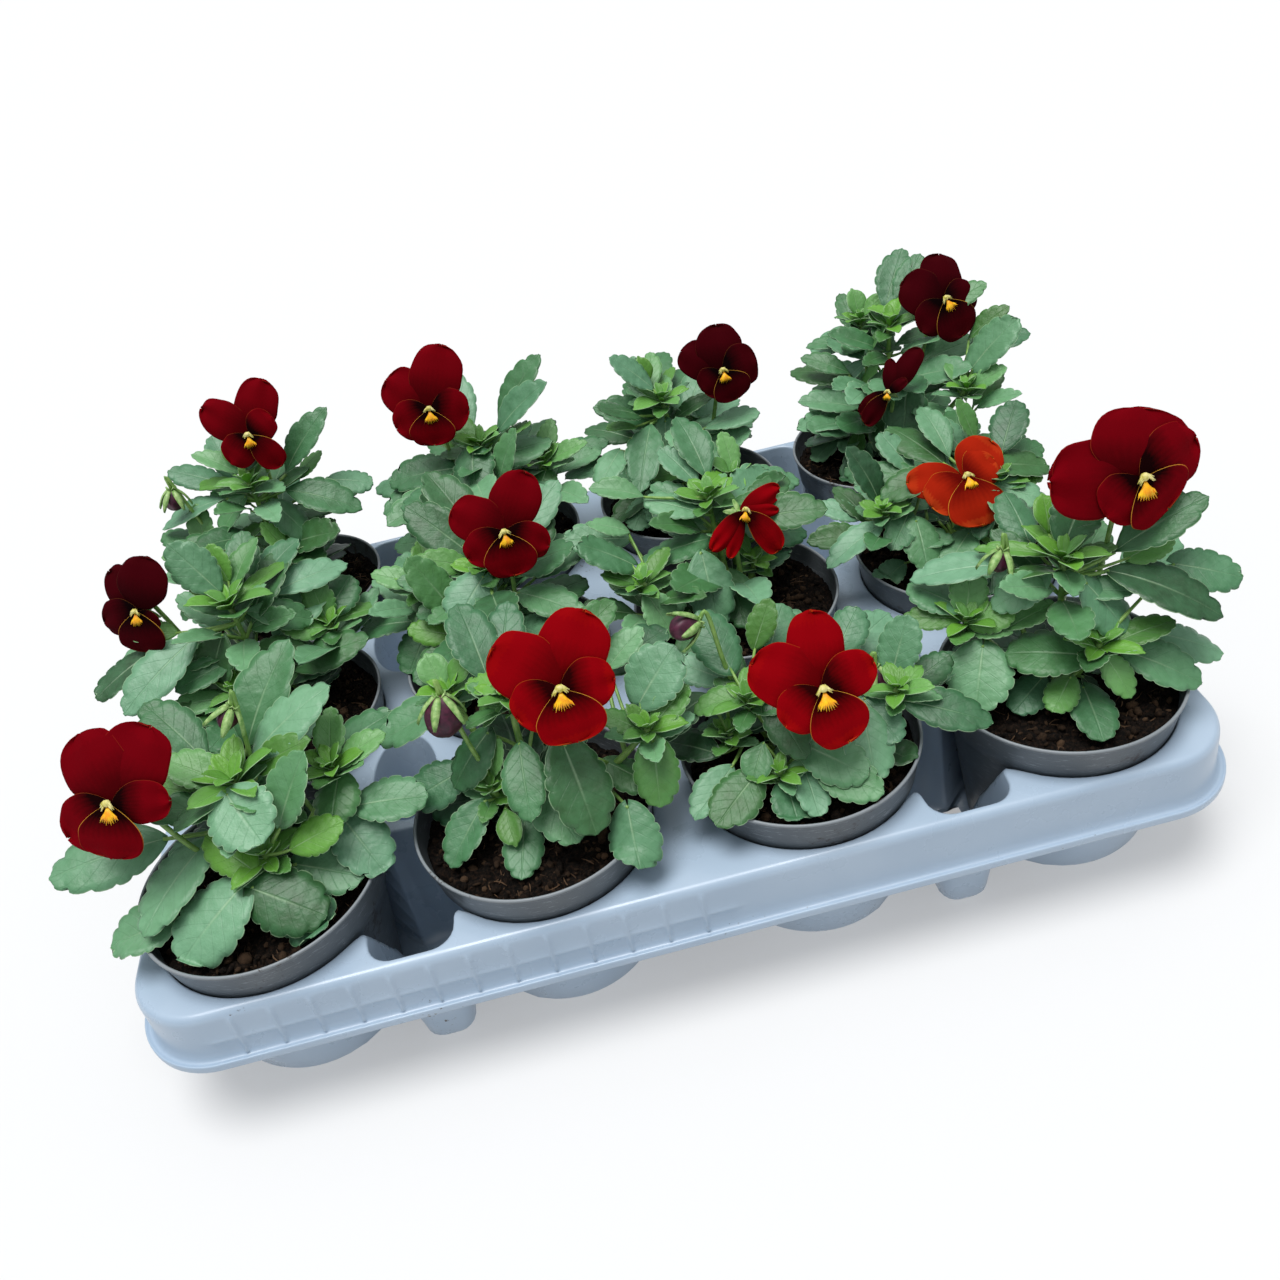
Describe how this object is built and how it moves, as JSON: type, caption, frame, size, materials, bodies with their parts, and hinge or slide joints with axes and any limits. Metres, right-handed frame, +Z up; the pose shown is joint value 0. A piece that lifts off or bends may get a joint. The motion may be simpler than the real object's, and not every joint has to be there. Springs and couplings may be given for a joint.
{
  "type": "potted pansy planter",
  "caption": "Carrying tray with round cups, each holding a round nursery pot of peat with a flowering red pansy plant.",
  "frame": {"origin": "centre of the bottom of the whole object's bounding box, on the surface the tray stands on", "axes": "+X along the tray's length to the viewer's right, +Y across it away from the viewer, +Z up"},
  "size_m": [0.5684, 0.4218, 0.222],
  "materials": {
    "tray_plastic": "satin thermoformed polystyrene sheet",
    "pot_plastic": "matt recycled polypropylene, scuffed",
    "peat": "rough fibrous peat",
    "leaf": "soft matt with a grey bloom",
    "bud": "soft matt",
    "petal_red": "velvety",
    "petal_bright_red": "velvety",
    "petal_maroon": "velvety",
    "petal_orange_red": "velvety"
  },
  "bodies": {
    "root": {"tray": "tray_plastic", "pot_a1": "pot_plastic", "soil_a1": "peat", "pot_a2": "pot_plastic", "soil_a2": "peat", "pot_a3": "pot_plastic", "soil_a3": "peat", "pot_a4": "pot_plastic", "soil_a4": "peat", "pot_b1": "pot_plastic", "soil_b1": "peat", "pot_b2": "pot_plastic", "soil_b2": "peat", "pot_b3": "pot_plastic", "soil_b3": "peat", "pot_b4": "pot_plastic", "soil_b4": "peat", "pot_c1": "pot_plastic", "soil_c1": "peat", "pot_c2": "pot_plastic", "soil_c2": "peat", "pot_c3": "pot_plastic", "soil_c3": "peat", "pot_c4": "pot_plastic", "soil_c4": "peat", "flower_a1": "petal_red", "flower_a2": "petal_bright_red", "flower_a3": "petal_bright_red", "flower_a4": "petal_red", "flower_b1": "petal_maroon", "flower_b2": "petal_red", "flower_b3": "petal_bright_red", "flower_b4": "petal_orange_red", "flower_c1": "petal_red", "flower_c2": "petal_red", "flower_c3": "petal_maroon", "flower_c4": "petal_maroon", "flower_c4_young": "petal_maroon", "bud_a1": "bud", "bud_a2": "bud", "bud_a3_left": "bud", "bud_a3_right": "bud", "bud_a4": "bud", "bud_c1": "bud", "foliage_a1": "leaf", "foliage_a2": "leaf", "foliage_a3": "leaf", "foliage_a4": "leaf", "foliage_b1": "leaf", "foliage_b2": "leaf", "foliage_b3": "leaf", "foliage_b4": "leaf", "foliage_c1": "leaf", "foliage_c2": "leaf", "foliage_c3": "leaf", "foliage_c4": "leaf"}
  },
  "joints": []
}
